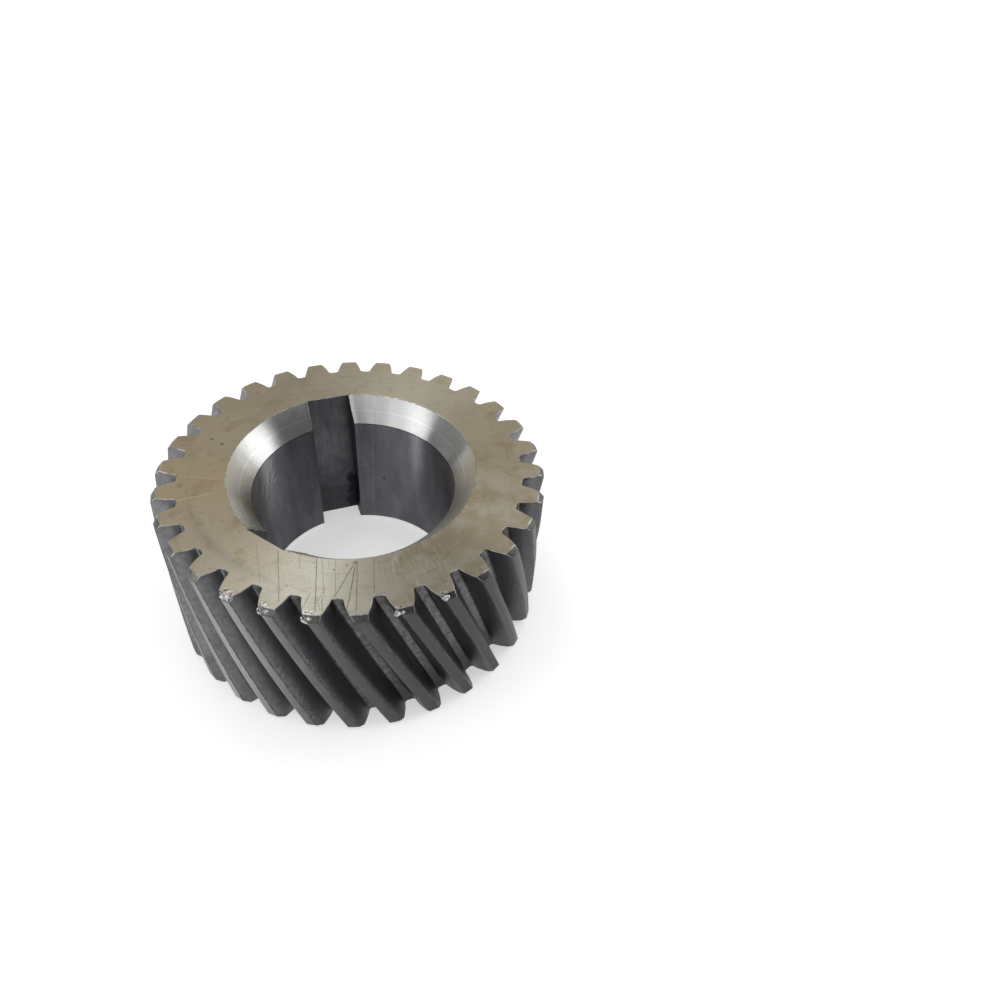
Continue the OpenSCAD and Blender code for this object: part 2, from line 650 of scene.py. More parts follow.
@dataclass
class TipBurrs:
    """Bright burrs at the corners of the teeth that took knocks: crushed lumps and curled splinters."""

    form: GearForm
    places: tuple[tuple[float, float, Knock], ...] = KNOCKS
    squash: tuple[float, float, float] = (1.0, 0.85, 0.6)
    lump_subdivisions: int = 3
    wire: float = 0.34
    curl: float = math.radians(285.0)
    curl_steps: int = 14
    wire_points: int = 8
    crumple: dict[Knock, float] = field(default_factory=lambda: {Knock.LUMP: 0.5, Knock.CURL: 0.22})
    crumple_size: float = 0.55 * MM
    inset: float = 0.62 * MM
    curl_shift: float = 0.35 * MM
    margin: float = 0.01 * MM
    tilt: float = math.radians(-45.0)

    def draw_lump(self, mesh: bmesh.types.BMesh, size: float) -> list[bmesh.types.BMVert]:
        """Draws a squashed ball at the origin."""
        ball = bmesh.ops.create_icosphere(mesh, subdivisions=self.lump_subdivisions, radius=size)["verts"]
        bmesh.ops.scale(mesh, vec=self.squash, verts=ball)
        return ball

    def draw_curl(self, mesh: bmesh.types.BMesh, size: float) -> list[bmesh.types.BMVert]:
        """Draws a curled splinter round the origin.

        Args:
            mesh: the mesh that it goes into.
            size: the curl's radius.

        Returns:
            Its vertices.
        """
        before = set(mesh.verts)
        radius = size * self.wire
        made = bmesh.ops.create_circle(mesh, cap_ends=True, segments=self.wire_points, radius=radius)
        wire = made["verts"]
        upright = Matrix.Rotation(math.pi / 2, 3, "X")
        bmesh.ops.rotate(mesh, cent=(0, 0, 0), matrix=upright, verts=wire)
        bmesh.ops.translate(mesh, vec=(size, 0, 0), verts=wire)
        loop = {edge for vertex in wire for edge in vertex.link_edges}
        caps = {face for vertex in wire for face in vertex.link_faces}
        bmesh.ops.spin(
            mesh,
            geom=[*wire, *loop, *caps],
            cent=(0, 0, 0),
            axis=(0, 0, 1),
            dvec=(0, 0, 0),
            angle=self.curl,
            steps=self.curl_steps,
        )
        return [vertex for vertex in mesh.verts if vertex not in before]

    def place(
        self, mesh: bmesh.types.BMesh, verts: list[bmesh.types.BMVert], azimuth: float, knock: Knock
    ) -> None:
        """Crumples a burr and sets it on the chamfer at a tooth's upper end.

        Args:
            mesh: the mesh that it belongs to.
            verts: its vertices, round the origin.
            azimuth: its angle round the gear, in degrees.
            knock: what the knock left.
        """
        for vertex in verts:
            swell = noise.noise(vertex.co / self.crumple_size + Vector((azimuth, 0, 0)))
            vertex.co *= 1 + self.crumple[knock] * swell
        tilt = Matrix.Rotation(self.tilt, 3, "X")
        turn = Matrix.Rotation(math.radians(azimuth - 90), 3, "Z")
        bmesh.ops.rotate(mesh, cent=(0, 0, 0), matrix=turn @ tilt, verts=verts)
        form = self.form
        inward = self.inset + (self.curl_shift if knock is Knock.CURL else 0.0)
        centre = polar(form.tip_radius - inward, math.radians(azimuth), form.face_width - self.inset)
        bmesh.ops.translate(mesh, vec=centre, verts=verts)

    def build(self) -> bpy.types.Object:
        """Builds all the burrs as one piece that stays inside the gear's own outline."""
        mesh = bmesh.new()
        top = self.form.face_width - self.margin
        reach = self.form.tip_radius - self.margin
        for azimuth, size, knock in self.places:
            draw = self.draw_lump if knock is Knock.LUMP else self.draw_curl
            self.place(mesh, draw(mesh, size * MM), azimuth, knock)
        bmesh.ops.recalc_face_normals(mesh, faces=mesh.faces)
        for vertex in mesh.verts:
            vertex.co.z = min(vertex.co.z, top)
            radius = vertex.co.xy.length
            if radius > reach:
                vertex.co.xy = vertex.co.xy * (reach / radius)
        for face in mesh.faces:
            face.smooth = True
        return finish_mesh(mesh, "tip_burrs")


@dataclass(frozen=True)
class Scratch:
    """A straight scratch, from one point of a surface to another, in millimetres."""

    start: Point
    end: Point
    half_width: float
    strength: float
    core: float = 0.02

    def mask(self, place: Place, where: Socket) -> Socket:
        """The scratch as a mask: 1 in its groove and 0 beside it."""
        return place.near_line(where, self.start, self.end).step(self.half_width, self.core) * self.strength


def scratches(*rows: tuple[float, float, float, float, float, float]) -> tuple[Scratch, ...]:
    """Makes scratches from rows that hold both ends, the half width and the strength of each."""
    return tuple(Scratch(row[:2], row[2:4], *row[4:]) for row in rows)


def merge(place: Place, where: Socket, marks: tuple[Scratch, ...], wander: float = 0.3) -> Socket:
    """All of some scratches as one mask, slightly wavy and uneven.

    Args:
        place: the material's coordinates.
        where: flat coordinates on the surface, in millimetres.
        marks: the scratches.
        wander: how far from side to side they wander, in millimetres.

    Returns:
        The mask, between 0 and 1.
    """
    graph = place.graph
    wave = graph.node("ShaderNodeTexNoise", None, Vector=where, Scale=0.35, Detail=1.0, out="Color")
    centred = graph.vector("SUBTRACT", where, (wander / 2, wander / 2, 0.0))
    wavy = graph.vector("MULTIPLY_ADD", wave, (wander, wander, 0.0), centred)
    whole = reduce(Socket.high, [mark.mask(place, wavy) for mark in marks])
    return whole * place.noise(0.9, where=where).step(0.15, 0.5)


@dataclass(frozen=True)
class Finish:
    """A steel finish: its colour, gloss and grain. The kinds below add what each surface shows."""

    name: str
    colour: Colour
    shade: Colour
    roughness: float
    roughness_spread: float = 0.06
    metallic: float = 1.0
    anisotropic: float = 0.0
    grain_turn: float = 0.25
    relief_depth: float = 0.01

    def pattern(self, place: Place) -> Socket:
        """The finish's main pattern: 0 gives the shade and 1 the colour."""
        raise NotImplementedError

    def bare(self, place: Place, pattern: Socket) -> Socket:
        """The steel's own colour, without what lies on it."""
        return place.graph.blend(pattern, self.shade, self.colour)

    def tone(self, place: Place, pattern: Socket) -> Socket:
        """The finish's colour over the surface."""
        return self.bare(place, pattern)

    def gloss(self, place: Place, pattern: Socket) -> Socket:
        """The finish's roughness over the surface."""
        return self.roughness + (0.5 - pattern) * self.roughness_spread

    def relief(self, place: Place, pattern: Socket) -> Socket:
        """The finish's height over the surface, between 0 and 1."""
        return pattern

    def build(self, gear: GearForm) -> bpy.types.Material:
        """Makes the material.

        Args:
            gear: the gear's sizes, for patterns that follow its shape.

        Returns:
            The material.
        """
        material, graph = new_material(self.name)
        place = Place(graph, gear)
        pattern = self.pattern(place)
        relief = self.relief(place, pattern)
        depth = self.relief_depth * MM
        values = {
            "Base_Color": self.tone(place, pattern),
            "Roughness": self.gloss(place, pattern),
            "Metallic": self.metallic,
            "Normal": graph.node("ShaderNodeBump", None, Strength=1.0, Distance=depth, Height=relief),
            "Anisotropic": self.anisotropic,
            "Anisotropic_Rotation": self.grain_turn,
        }
        shader = graph.node("ShaderNodeBsdfPrincipled", None, **values)
        graph.node("ShaderNodeOutputMaterial", None, Surface=shader)
        return material


@dataclass(frozen=True)
class ScratchedFinish(Finish):
    """A finish with pale and dark scratches at places of their own."""

    fresh: Colour = (0.9, 0.9, 0.88)
    groove: Colour = (0.2, 0.2, 0.19)
    pale_strength: float = 0.7
    dark_strength: float = 0.7
    pale_scratches: tuple[Scratch, ...] = ()
    dark_scratches: tuple[Scratch, ...] = ()

    def scratched(self, place: Place, where: Socket, shown: Number = 1.0) -> list[Layer]:
        """The scratches as layers, with the pale ones first.

        Args:
            place: the material's coordinates.
            where: flat coordinates on the surface, in millimetres.
            shown: a mask of where there are scratches.

        Returns:
            Both layers.
        """
        pale = merge(place, where, self.pale_scratches) * shown * self.pale_strength
        dark = merge(place, where, self.dark_scratches) * shown * self.dark_strength
        return [(pale, self.fresh), (dark, self.groove)]


@dataclass(frozen=True)
class TurnedFace(ScratchedFinish):
    """The turned faces: fine rings, stains and specks, and the scratches and punched dots of the upper one,
    which also has a painted warm reflection on one side and painted shade in its stains.
    """

    name: str = "turned_face"
    colour: Colour = (0.535, 0.519, 0.453)
    shade: Colour = (0.465, 0.448, 0.376)
    # colour of the oil stains and of the painted shade near one point of the upper face
    stain_and_shade_colour: Colour = (0.33, 0.265, 0.145)
    # painted reflection: a warm tint standing for the warm light that one side of the upper face reflects
    painted_warm_reflection: Colour = (0.565, 0.522, 0.422)
    brown: Colour = (0.46, 0.42, 0.34)
    groove: Colour = (0.13, 0.12, 0.10)
    fresh: Colour = (0.82, 0.81, 0.77)
    roughness: float = 0.34
    anisotropic: float = 0.85
    relief_depth: float = 0.004
    tool_ring: float = 35.1
    painted_warm_reflection_side: float = math.radians(192.0)
    brown_side: float = math.radians(140.0)
    ring_side: float = math.radians(207.0)
    nicked_radius: float = 38.5
    crush_radius: float = 41.3
    # middle of the painted shade that thickens the stains
    stain_and_shade_centre: Point = (24.0, -31.0)
    brushed: Point = (5.0, -30.0)
    dots: tuple[Point, ...] = ((-28.1, 18.9), (-26.1, 16.5))
    dot_radius: float = 0.62
    dot_depth: float = 12.0
    pale_strength: float = 0.6
    dark_strength: float = 0.85
    dark_scratches: tuple[Scratch, ...] = scratches(
        (-19.75, -20.0, -21.66, -33.1, 0.15, 0.8),
        (-23.5, -17.2, -24.3, -27.4, 0.13, 0.4),
        (-12.8, -24.15, -15.85, -37.5, 0.16, 1.0),
        (-11.9, -24.6, -13.5, -34.5, 0.13, 0.7),
        (-9.4, -25.5, -11.4, -34.8, 0.13, 0.6),
        (-5.9, -27.5, -11.7, -35.1, 0.17, 0.95),
        (-5.7, -27.4, -10.0, -38.5, 0.17, 1.0),
        (-5.5, -27.5, -8.6, -39.8, 0.14, 0.9),
        (-2.2, -27.7, -4.3, -36.3, 0.13, 0.7),
        (-15.8, -32.9, -18.0, -36.0, 0.14, 0.7),
        (-13.9, -34.6, -14.6, -38.2, 0.14, 0.8),
        (-12.9, -32.6, -16.3, -36.9, 0.13, 0.7),
        (-15.0, -33.6, -14.9, -37.2, 0.12, 0.6),
        (-12.0, -35.2, -12.8, -38.0, 0.12, 0.6),
        (-15.85, -22.2, -16.5, -26.2, 0.13, 0.5),
        (-10.9, -25.6, -11.1, -28.4, 0.12, 0.4),
        (0.0, -29.5, -1.5, -32.9, 0.12, 0.35),
        (5.8, -26.2, 4.9, -30.2, 0.12, 0.4),
        (6.9, -26.3, 6.2, -29.3, 0.12, 0.4),
        (-15.2, -24.3, -13.2, -25.3, 0.12, 0.5),
        (-23.6, -26.8, -21.5, -28.6, 0.16, 0.4),
        (-20.1, -29.2, -16.3, -32.3, 0.16, 0.4),
        (5.6, 33.9, 3.8, 37.6, 0.14, 0.5),
        (14.3, 27.2, 13.6, 32.4, 0.12, 0.35),
        (17.2, 26.8, 15.9, 31.2, 0.12, 0.3),
        (-36.9, 4.9, -35.6, 5.0, 0.2, 0.8),
    )
    pale_scratches: tuple[Scratch, ...] = scratches(
        (-37.1, 0.3, -30.5, 0.5, 0.2, 1.0),
        (-36.0, 8.0, -29.0, 4.9, 0.15, 0.7),
        (-36.6, -2.5, -31.6, -4.4, 0.13, 0.35),
        (-30.1, 13.8, -27.7, 14.0, 0.14, 0.5),
        (-31.7, 13.8, -30.1, 13.6, 0.25, 0.7),
        (-23.4, 24.5, -19.6, 24.9, 0.3, 0.5),
        (-18.3, 27.7, -15.7, 26.5, 0.18, 0.8),
        (-40.4, 11.1, -37.6, 9.5, 0.15, 0.5),
        (-21.5, -31.5, -12.5, -34.2, 0.2, 0.3),
        (1.2, -29.0, 0.6, -32.4, 0.35, 0.6),
        (2.2, -28.4, 2.0, -31.0, 0.3, 0.5),
        (4.2, -36.0, 4.0, -39.0, 0.4, 0.5),
    )

    def pattern(self, place: Place) -> Socket:
        """Fine rings over slow clouds."""
        rings = place.round_grain(7.0, 2.0) * 0.6 + place.round_grain(1.6, 1.0, 7.0) * 0.4
        return (rings * 0.55 + place.noise(0.13, 3.0) * 0.45).step(0.34, 0.66)

    def upper(self, place: Place) -> Socket:
        """1 on the upper face and 0 on the lower one."""
        return place.z.step(0.0, place.gear.face_width / MM)

    def punched(self, place: Place) -> Socket:
        """The two punched timing dots, as a mask that is deepest in their middles."""
        spots = [place.distance(place.flat, dot) for dot in self.dots]
        return spots[0].low(spots[1]).step(self.dot_radius, 0.1) * self.upper(place)

    def stains_and_shade(self, place: Place) -> Socket:
        """Oil stains: faint blots all over, thicker towards one side of the upper face, where the thickening is
        painted shade.
        """
        # painted shade: the blots grow thicker near one point
        near = place.distance(place.flat, self.stain_and_shade_centre).step(26.0, 8.0)
        thick = (place.noise(0.16, 4.0, 0.6) + near * 0.16).step(0.5, 0.72) * 0.5
        small = place.noise(0.5, 4.0, 0.65).step(0.54, 0.76) * 0.3
        ring = place.radius.band(self.tool_ring, 0.5) * place.noise(0.25, where=place.flat).step(0.4, 0.7)
        return thick.high(small).high(ring * 0.35)

    def tints_and_painted_reflection(self, place: Place) -> list[Layer]:
        """The upper face's tints: a painted warm reflection on one side and brown next to it, with a dull ring
        that a tool left.
        """
        upper = self.upper(place)
        ring = place.radius.band(self.tool_ring, 1.8) * place.towards(self.ring_side).step(0.78, 0.97)
        # painted warm reflection on one side of the upper face, kept off the tool ring
        painted_warm_reflection = place.towards(self.painted_warm_reflection_side).step(0.72, 0.92) * upper * (1 - ring)
        brown = place.towards(self.brown_side).step(0.75, 0.95) * upper
        return [(brown * 0.35, self.brown), (painted_warm_reflection * 0.9, self.painted_warm_reflection), (ring * upper * 0.2, self.brown)]

    def brush_marks(self, place: Place) -> Socket:
        """Short marks across the front of the upper face, brushed towards the bore."""
        strokes = place.stretched((1.8, 0.22, 0.0), 3.0, 0.65).step(0.5, 0.72)
        return strokes * place.distance(place.flat, self.brushed).step(12.0, 3.0) * self.upper(place)

    def crushed(self, place: Place) -> Socket:
        """Where the knocks reached the upper face, as a mask."""
        reached = []
        for azimuth, size, _ in KNOCKS:
            middle = polar(self.crush_radius, math.radians(azimuth), 0.0).xy
            reached.append(place.distance(place.flat, middle).step(size * 1.15, size * 0.6))
        return reduce(Socket.high, reached) * self.upper(place)

    def tone(self, place: Place, pattern: Socket) -> Socket:
        """Rings, tints with a painted warm reflection, stains with painted shade, brush marks, specks,
        scratches, dots and crushed places.
        """
        specks = place.noise(1.5, 0.0).step(0.79, 0.83) * 0.65
        outer = place.radius.step(self.nicked_radius, self.nicked_radius + 2.5)
        nicked = outer * place.noise(1.1, 2.0, 0.7).step(0.62, 0.7) * 0.4
        folds = place.graph.blend(place.noise(1.7, 2.0, 0.6).step(0.42, 0.58), self.groove, self.fresh)
        return place.layers(
            self.bare(place, pattern),
            *self.tints_and_painted_reflection(place),
            (self.stains_and_shade(place), self.stain_and_shade_colour),
            (self.brush_marks(place) * 0.35, self.fresh),
            (specks.high(nicked), self.groove),
            *self.scratched(place, place.flat, self.upper(place)),
            (self.punched(place) * 0.85, self.groove),
            (self.crushed(place) * 0.8, folds),
        )

    def gloss(self, place: Place, pattern: Socket) -> Socket:
        """Rougher in the stains and their painted shade."""
        return super().gloss(place, pattern) + self.stains_and_shade(place) * 0.1

    def relief(self, place: Place, pattern: Socket) -> Socket:
        """Rings, with the dots sunk."""
        return pattern * 0.5 - self.punched(place) * self.dot_depth


@dataclass(frozen=True)
class LeadInFinish(ScratchedFinish):
    """The bright turned lead-in chamfer."""

    name: str = "lead_in_steel"
    colour: Colour = (0.61, 0.618, 0.608)
    shade: Colour = (0.588, 0.595, 0.585)
    dull: Colour = (0.42, 0.41, 0.38)
    roughness: float = 0.27
    anisotropic: float = 0.97
    roughness_spread: float = 0.008
    relief_depth: float = 0.0001
    unrolled_radius: float = 25.0
    step_ring: float = 34.7
    dark_scratches: tuple[Scratch, ...] = scratches(
        (65.1, 37.3, 65.15, 33.4, 0.09, 0.5),
        (62.4, 36.6, 62.7, 36.2, 0.2, 0.5),
        (61.4, 35.2, 61.7, 34.9, 0.2, 0.5),
    )
    pale_scratches: tuple[Scratch, ...] = scratches(
        (68.9, 36.1, 66.4, 34.2, 0.1, 0.5),
        (28.7, 37.5, 29.0, 32.3, 0.1, 0.5),
    )

    def pattern(self, place: Place) -> Socket:
        """Fine rings."""
        return place.round_grain(7.0, 2.5).step(0.2, 0.8)

    def tone(self, place: Place, pattern: Socket) -> Socket:
        """Rings, dull patches, a faint step half way down and a few scratches."""
        return place.layers(
            self.bare(place, pattern),
            (place.noise(0.35, 3.0).step(0.5, 0.8) * 0.3, self.dull),
            (place.z.band(self.step_ring, 0.15) * 0.4, self.fresh),
            *self.scratched(place, place.unrolled(self.unrolled_radius)),
        )


@dataclass(frozen=True)
class BoreFinish(ScratchedFinish):
    """The dark bore: faint rings, painted reflection streaks, scuffs, and scratches beside the first keyway."""

    name: str = "bore_steel"
    colour: Colour = (0.265, 0.267, 0.287)
    shade: Colour = (0.185, 0.187, 0.205)
    # colour of the scuffs and of the painted reflection streaks
    scuff_and_reflection: Colour = (0.48, 0.485, 0.5)
    fresh: Colour = (0.64, 0.645, 0.65)
    groove: Colour = (0.03, 0.03, 0.035)
    roughness: float = 0.5
    anisotropic: float = 0.97
    relief_depth: float = 0.0015
    unrolled_radius: float = 22.5
    # painted reflections: bright upright streaks, each given by its middle and half width round the bore
    painted_reflections: tuple[Point, ...] = ((14.0, 3.2), (55.6, 4.6))
    reflections_from: float = 12.0
    reflections_to: float = 28.0
    pit: Point = (23.66, 15.0)
    pale_strength: float = 0.8
    dark_strength: float = 0.8
    dark_scratches: tuple[Scratch, ...] = scratches(
        (53.5, 31.8, 57.0, 20.5, 0.2, 0.8),
        (54.6, 31.6, 58.8, 24.0, 0.16, 0.7),
        (52.9, 29.0, 54.2, 22.0, 0.14, 0.5),
    )
    pale_scratches: tuple[Scratch, ...] = scratches(
        (54.1, 31.8, 57.9, 22.5, 0.14, 0.7),
        (58.4, 26.5, 59.4, 24.8, 0.3, 0.9),
        (61.2, 31.0, 62.2, 29.0, 0.25, 0.6),
        (53.5, 31.0, 54.2, 28.4, 0.35, 0.9),
        (52.8, 27.8, 54.6, 25.4, 0.2, 1.0),
        (56.4, 27.4, 55.4, 24.6, 0.2, 0.9),
        (55.0, 29.6, 56.6, 27.8, 0.22, 0.9),
        (52.9, 24.7, 53.6, 24.2, 0.22, 1.0),
        (25.9, 32.3, 26.75, 4.9, 0.12, 0.35),
    )

    def pattern(self, place: Place) -> Socket:
        """Faint rings over patches that run down the bore."""
        return (place.round_grain(5.0, 2.0) * 0.3 + place.stretched((0.3, 0.3, 0.09), 3.0) * 0.7).step(0.3, 0.7)

    def tone(self, place: Place, pattern: Socket) -> Socket:
        """Patches, painted reflection streaks, scuffs, scratches and a pit."""
        around = place.angle * self.unrolled_radius
        unrolled = place.unrolled(self.unrolled_radius)
        high = place.z.step(self.reflections_from, self.reflections_to)
        # painted reflection streaks, strongest high up
        reflection_streaks = [around.band(middle, reach) * high for middle, reach in self.painted_reflections]
        scuffs = place.noise(1.0, where=place.combine(place.angle * 40.0, place.z * 0.5, 0.0)).step(0.62, 0.8)
        return place.layers(
            self.bare(place, pattern),
            *((rub * (0.5 + pattern * 0.5), self.scuff_and_reflection) for rub in reflection_streaks),
            (scuffs * 0.45, self.scuff_and_reflection),
            *self.scratched(place, unrolled),
            (place.distance(unrolled, self.pit).step(0.42, 0.2), self.groove),
        )


@dataclass(frozen=True)
class KeywayFinish(Finish):
    """The broached keyways: streaks along the cut, grease, and painted shade along one side wall."""

    name: str = "keyway_steel"
    colour: Colour = (0.21, 0.21, 0.222)
    shade: Colour = (0.12, 0.12, 0.13)
    # colour of the grease and of the painted shade in one corner
    grease_and_shade: Colour = (0.03, 0.03, 0.035)
    roughness: float = 0.45
    grease_top: float = 26.0
    grease_full: float = 4.0
    clot_side: float = 2.1
    clot_top: float = 14.5
    # where the painted shade along the first keyway's side wall starts
    corner_side: float = 3.0

    def pattern(self, place: Place) -> Socket:
        """Streaks along the keyway, over slow patches."""
        streaks = place.stretched((2.2, 2.2, 0.1), 3.0, 0.6)
        return (streaks * 0.45 + place.noise(0.22, 3.0) * 0.55).step(0.25, 0.75)

    def tone(self, place: Place, pattern: Socket) -> Socket:
        """Streaks, grease that thickens downwards and has caught in one corner of the first keyway, and painted
        shade along that keyway's side wall.
        """
        uneven = (place.noise(0.3) - 0.5) * 12.0
        grease_and_shade = (place.z + uneven).step(self.grease_top, self.grease_full) * 0.7
        lumps = (place.noise(0.55) - 0.5) * 5.0
        clot = (place.x + lumps).step(self.clot_side, self.clot_side + 1.4)
        clot = clot * (place.z + lumps * 1.5).step(self.clot_top, self.clot_top - 3.5)
        # painted shade along the side wall of the first keyway
        corner = place.x.step(self.corner_side, self.corner_side + 2.0) * 0.45
        return place.layers(self.bare(place, pattern), (grease_and_shade.high(clot).high(corner), self.grease_and_shade))


@dataclass(frozen=True)
class ToothFinish(Finish):
    """What the surfaces of the teeth share: painted shade that darkens one side of the gear."""

    # colour of the painted shade on one side of the gear
    painted_shade_colour: Colour = (0.1, 0.1, 0.1)
    painted_shade_side: float = math.radians(300.0)
    painted_shade_start: float = 0.05
    painted_shade_full: float = 0.75

    def painted_shade(self, place: Place) -> Socket:
        """How strong the painted shade is, from 0 to 1, fading round the gear with an uneven border."""
        return place.towards(self.painted_shade_side).step(self.painted_shade_start, self.painted_shade_full)

    def height_on_tooth(self, place: Place) -> Socket:
        """How far up a tooth a point lies: 0 at the root circle and 1 at the tip."""
        root = place.gear.root_radius / MM
        return (place.radius - root) / (place.gear.tip_radius / MM - root)

    def tone(self, place: Place, pattern: Socket) -> Socket:
        """Bare steel, darkened by painted shade on one side."""
        return place.layers(self.bare(place, pattern), (self.painted_shade(place), self.painted_shade_colour))


@dataclass(frozen=True)
class FlankFinish(ToothFinish):
    """The hobbed flanks and the floor of the tooth spaces, mottled near the tips under a painted sheen, torn
    along their edges, and darkened by painted shade on one side and low down.
    """

    name: str = "hobbed_steel"
    colour: Colour = (0.26, 0.26, 0.265)
    shade: Colour = (0.17, 0.17, 0.18)
    painted_shade_colour: Colour = (0.07, 0.07, 0.077)
    # painted light: the lighter colour of the painted shade at the foot of the teeth
    foot: Colour = (0.215, 0.213, 0.228)
    # colour of the mottled root floor and of the painted sheen band below the tips
    mottle_and_sheen: Colour = (0.19, 0.19, 0.195)
    # colour of the painted shade at the lower ends of the teeth on the shaded side
    painted_low_shade: Colour = (0.03, 0.03, 0.033)
    torn: Colour = (0.3, 0.3, 0.29)
    oil: Colour = (0.055, 0.048, 0.028)
    painted_shade_start: float = -0.2
    roughness: float = 0.42
    feed_per_mm: float = 0.62
    oil_reach: float = 9.0
    low_shade_top: float = 18.0
    low_shade_full: float = 5.0
    relief_depth: float = 0.02

    def pattern(self, place: Place) -> Socket:
        """Fine mottling over slow clouds."""
        return (place.noise(0.3) * 0.4 + place.noise(1.0, 4.0, 0.6) * 0.6).step(0.3, 0.7)

    def marks(self, place: Place) -> Socket:
        """The cutter's marks: faint ripples along a tooth under uneven blotches."""
        lag = place.noise(0.25) * 2.5 + place.radius * 0.35
        ripple = ((place.z * self.feed_per_mm + lag) * math.tau).math("SINE") * 0.5 + 0.5
        return ripple * 0.15 + place.noise(0.8, 4.0, 0.65).step(0.3, 0.7) * 0.85

    def tears(self, place: Place) -> Socket:
        """Torn metal: crumbs along parts of the edges under the tips."""
        parts = place.noise(0.22, 1.0).step(0.44, 0.56)
        crumbs = place.noise(1.9, 3.0, 0.7).step(0.44, 0.6)
        return self.height_on_tooth(place).step(0.74, 0.92) * parts * crumbs

    def tone(self, place: Place, pattern: Socket) -> Socket:
        """Painted shade that is lighter at the foot, with the marks lighter in a band below the tip as a
        painted sheen, oil in the upper ends of the spaces, painted shade at the lower ends, and torn crumbs.
        """
        blend = place.graph.blend
        height = self.height_on_tooth(place)
        painted_shade = self.painted_shade(place)
        marks = self.marks(place)
        # painted light: the painted shade lightens towards the foot
        painted_shade_colour = blend(height.step(0.2, 0.85), self.foot, self.painted_shade_colour)
        painted_shade_colour = blend(height.step(0.12, 0.04), painted_shade_colour, blend(marks, self.painted_shade_colour, self.mottle_and_sheen))
        less_shade = painted_shade.step(1.0, 0.8) * 0.85 + 0.15
        # painted sheen: a lighter mottled band below the tip
        band = height.step(0.3, 0.75) * height.step(1.0, 0.92) * marks * painted_shade.step(0.2, 0.7) * less_shade
        width = place.gear.face_width / MM
        blots = place.noise(0.3, 3.0, 0.6).step(0.42, 0.62)
        oily = place.z.step(width - self.oil_reach, width - 1.0) * height.step(0.7, 0.1) * blots * painted_shade
        low = place.z.step(self.low_shade_top, self.low_shade_full)
        # painted shade: darker at the lower ends on the shaded side
        low_shade = place.towards(self.painted_shade_side).step(0.72, 0.95) * low * height.step(0.95, 0.6)
        return place.layers(
            self.bare(place, pattern),
            (painted_shade, painted_shade_colour),
            (band, self.mottle_and_sheen),
            (oily * 0.7, self.oil),
            (low_shade * 0.75, self.painted_low_shade),
            (self.tears(place) * (0.15 + less_shade * 0.25), self.torn),
        )

    def relief(self, place: Place, pattern: Socket) -> Socket:
        """The cutter's marks and the tears."""
        return self.marks(place) + self.tears(place) * 1.5


@dataclass(frozen=True)
class LandFinish(ToothFinish):
    """The tips of the teeth, turned with the outer diameter, with dark dashes along one edge: small burrs and
    their painted shade.
    """

    name: str = "land_steel"
    colour: Colour = (0.42, 0.42, 0.415)
    shade: Colour = (0.35, 0.35, 0.345)
    painted_shade_colour: Colour = (0.15, 0.15, 0.153)
    burr_shade: Colour = (0.025, 0.025, 0.027)
    roughness: float = 0.5
    anisotropic: float = 0.97
    relief_depth: float = 0.004

    def pattern(self, place: Place) -> Socket:
        """Fine rings, seen edge on, under streaks along the tooth."""
        fine = place.noise(1.0, 3.0, 0.6, place.combine(place.angle * 6.0, place.z * 6.0, 0.0))
        along = place.combine(place.off_middle() * 1.2, place.z * 0.12, place.angle * 3.0)
        return (fine * 0.35 + place.noise(1.0, 3.0, where=along) * 0.65).step(0.3, 0.7)

    def tone(self, place: Place, pattern: Socket) -> Socket:
        """Painted shade over the bare steel, and the dark dashes of burrs and their painted shade."""
        half_width = place.gear.half_tooth(place.gear.tip_radius) * place.gear.tip_radius / MM
        dashes = place.noise(1.0, 3.0, 0.65, place.combine(place.angle * 12.0, 0.0, place.z * 0.9))
        # dark dashes along one edge: small burrs with painted shade
        reach = place.off_middle() + dashes.step(0.4, 0.7) * 0.32
        burr_shaded = reach.step(half_width - 0.16, half_width - 0.06) * (1 - self.painted_shade(place) * 0.75)
        return place.layers(super().tone(place, pattern), (burr_shaded * 0.9, self.burr_shade))


@dataclass(frozen=True)
class TipChamferFinish(ToothFinish):
    """The chamfers at the ends of the teeth, dull and lightly bruised."""

    name: str = "tip_chamfer_steel"
    colour: Colour = (0.3, 0.3, 0.285)
    shade: Colour = (0.17, 0.17, 0.16)
    painted_shade_colour: Colour = (0.105, 0.105, 0.1)
    roughness: float = 0.42
    relief_depth: float = 0.03

    def pattern(self, place: Place) -> Socket:
        """Small bruises."""
        return place.noise(1.3, 4.0, 0.65).step(0.4, 0.75)

    def tone(self, place: Place, pattern: Socket) -> Socket:
        """Painted shade, partly broken up by the bruises."""
        return place.layers(self.bare(place, pattern), (self.painted_shade(place) * (1 - pattern * 0.35), self.painted_shade_colour))


